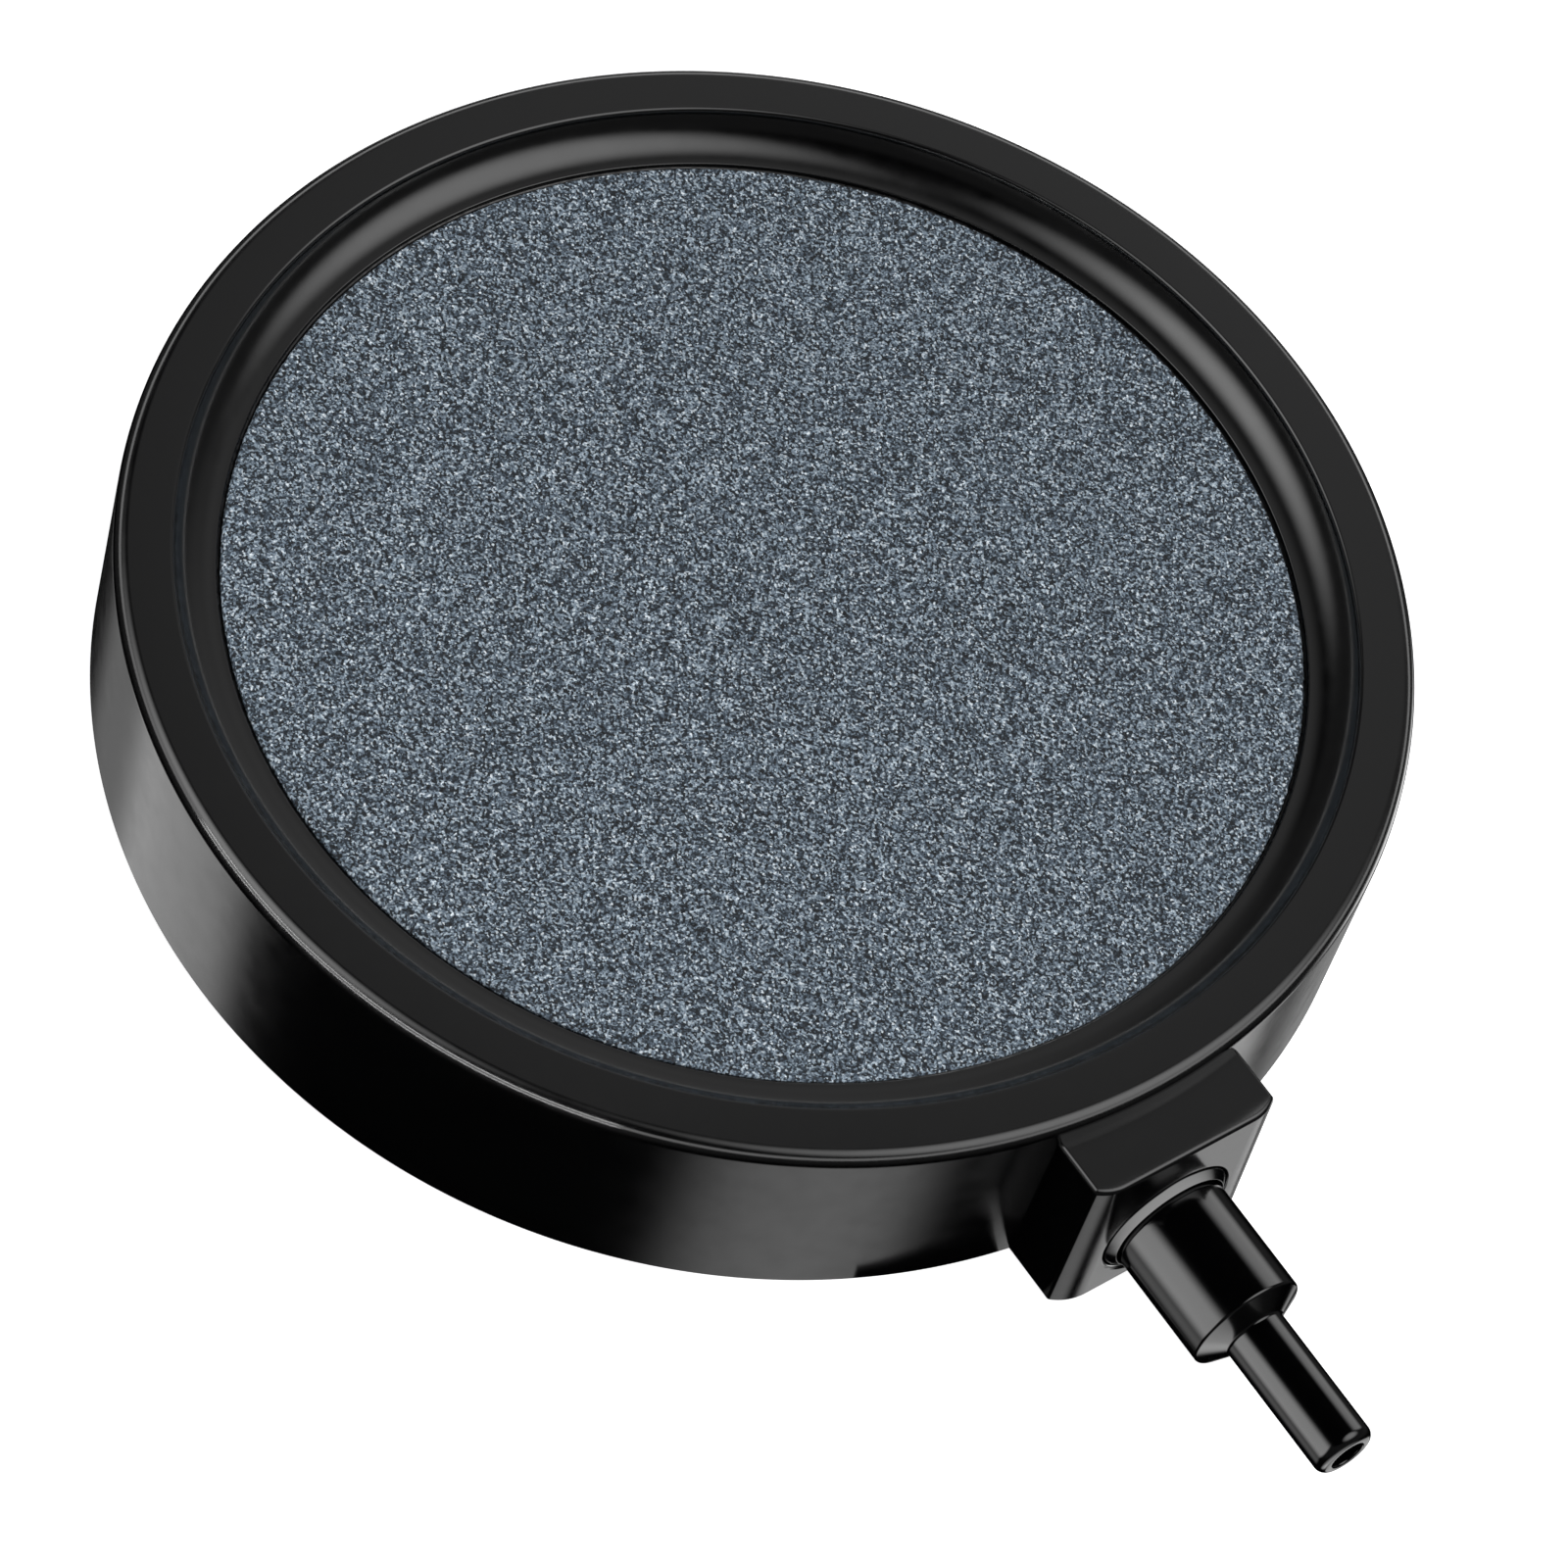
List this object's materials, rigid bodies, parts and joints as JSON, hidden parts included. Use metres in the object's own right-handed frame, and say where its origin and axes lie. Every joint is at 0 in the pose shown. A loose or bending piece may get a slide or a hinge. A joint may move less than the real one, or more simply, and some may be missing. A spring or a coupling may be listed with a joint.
{
  "type": "air stone",
  "caption": "Round air stone: porous plate bonded into a low moulded dish, with a boss and stepped swivel hose connector on its side.",
  "frame": {"origin": "centre of the flat base, on the surface that the air stone stands on", "axes": "+Z out of the stone's face, +X along the hose connector, towards its tip, +Y completes a right-handed frame"},
  "size_m": [0.1367, 0.107, 0.0191],
  "materials": {
    "black_abs": "satin moulded",
    "connector_abs": "semi-gloss moulded",
    "bonded_mineral": "porous, fine grained",
    "epoxy": "cured, dark",
    "nitrile": "smooth"
  },
  "bodies": {
    "dish": {"housing": "black_abs", "stone_disc": "bonded_mineral", "stone_adhesive": "epoxy", "retaining_collar": "connector_abs"},
    "connector": {"nozzle": "connector_abs", "nozzle_o_ring": "nitrile"}
  },
  "joints": [
    {"name": "connector_swivel", "type": "hinge", "parent": "dish", "child": "connector", "pos_m": [0.059, 0, 0.0069], "axis": [1, 0, 0], "continuous": true}
  ]
}
